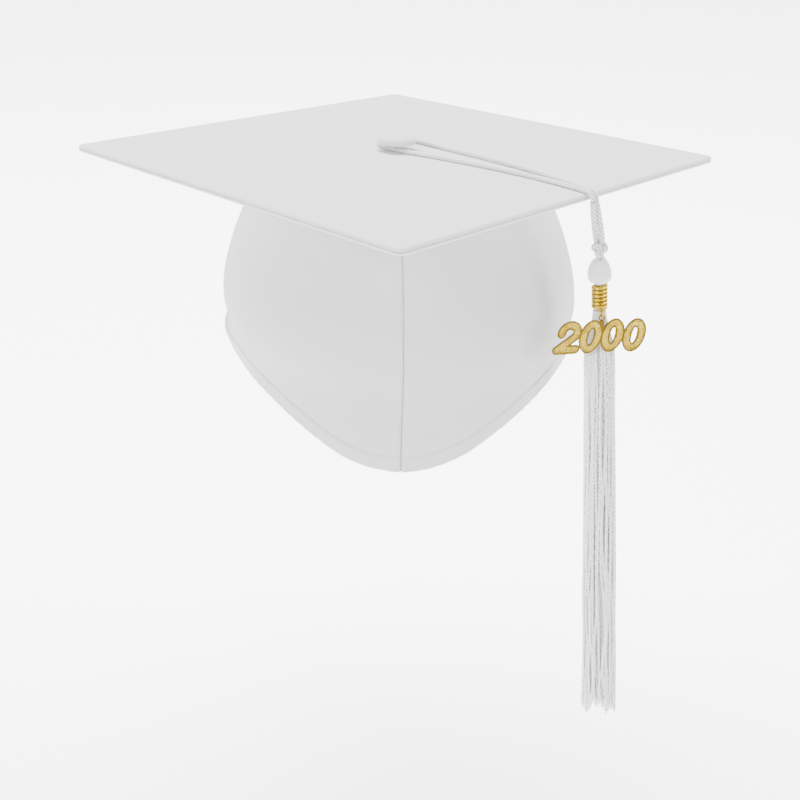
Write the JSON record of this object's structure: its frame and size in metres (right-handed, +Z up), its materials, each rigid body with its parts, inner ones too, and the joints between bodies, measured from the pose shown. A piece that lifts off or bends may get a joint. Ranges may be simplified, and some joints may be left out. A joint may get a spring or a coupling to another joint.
{
  "type": "graduation cap",
  "caption": "White graduation cap: square board on a soft crown, covered button, looped cord and white tassel with gold wire binding and a gold numeral charm.",
  "frame": {"origin": "centre of the head opening, at the height of the hem beside the ears", "axes": "+Z up through the board, -Y towards the front corner and the wearer's forehead, +X to the viewer's right"},
  "size_m": [0.3364, 0.3364, 0.3065],
  "materials": {
    "white_cloth": "smooth matte polyester cloth with an extremely fine weave",
    "card": "dense grey-brown board",
    "thread": "white sewing thread",
    "button_metal": "plain pressed sheet",
    "backing": "stiff non-woven backing",
    "tape": "narrow twill tape",
    "headband": "soft brushed band",
    "elastic": "woven-over elastic",
    "white_cord": "smooth rayon cord with a slight sheen",
    "tassel_yarn": "twisted rayon threads with a silky sheen",
    "gold_wire": "bright gold-plated wire",
    "gold_charm": "gold-plated: polished raised outline, sparkling sunken field"
  },
  "bodies": {
    "cap": {"board_core": "card", "board_top_cover": "white_cloth", "board_bottom_cover": "white_cloth", "board_edge_thread": "thread", "button_cover": "white_cloth", "button_shell": "button_metal", "button_back": "button_metal", "button_washer": "card", "button_prongs": "button_metal", "crown_panel_left": "white_cloth", "crown_panel_right": "white_cloth", "crown_back_panel": "white_cloth", "hem_facing_left": "white_cloth", "hem_facing_right": "white_cloth", "interfacing_left": "backing", "interfacing_right": "backing", "front_seam_tape": "tape", "front_headband": "headband", "elastic_band": "elastic", "back_casing": "white_cloth", "crown_top_disc": "backing", "crown_top_thread": "thread", "hanger_loop": "white_cord"},
    "cord_bend": {"hanger_bend": "white_cord"},
    "hanging_cord": {"hanging_cord": "white_cord"},
    "knot": {"hanger_knot": "white_cord"},
    "tassel": {"tassel_head": "tassel_yarn", "cord_end_knot": "white_cord", "gold_coil": "gold_wire", "tassel_skirt": "tassel_yarn"},
    "ring": {"jump_ring": "gold_wire"},
    "charm": {"year_charm": "gold_charm"}
  },
  "joints": [
    {"name": "tassel_slide", "type": "slide", "parent": "cap", "child": "cord_bend", "axis": [0.7071, 0.7071, 0], "range_m": [-0.045, 0.045], "deforming": ["hanger_loop"]},
    {"name": "cord_swing", "type": "hinge", "parent": "cord_bend", "child": "hanging_cord", "pos_m": [0.09072, -0.07757, 0.097], "axis": [-0.7071, -0.7071, 0], "range_deg": [-6, 80], "deforming": ["hanger_bend"]},
    {"name": "tassel_sway", "type": "hinge", "parent": "hanging_cord", "child": "knot", "pos_m": [0.09545, -0.08075, 0.07927], "axis": [0.7044, -0.7071, 0.0616], "range_deg": [-20, 20]},
    {"name": "tassel_spin", "type": "hinge", "parent": "knot", "child": "tassel", "pos_m": [0.09638, -0.08075, 0.06876], "axis": [-0.0872, 0, 0.9962], "range_deg": [-30, 30]},
    {"name": "ring_swing", "type": "hinge", "parent": "tassel", "child": "ring", "pos_m": [0.09859, -0.087, 0.0434], "axis": [-0.9962, 0, -0.0872], "range_deg": [0, 60]},
    {"name": "charm_swing", "type": "hinge", "parent": "ring", "child": "charm", "pos_m": [0.09884, -0.087, 0.04061], "axis": [-0.0121, -0.9903, 0.1386], "range_deg": [-15, 15]}
  ]
}
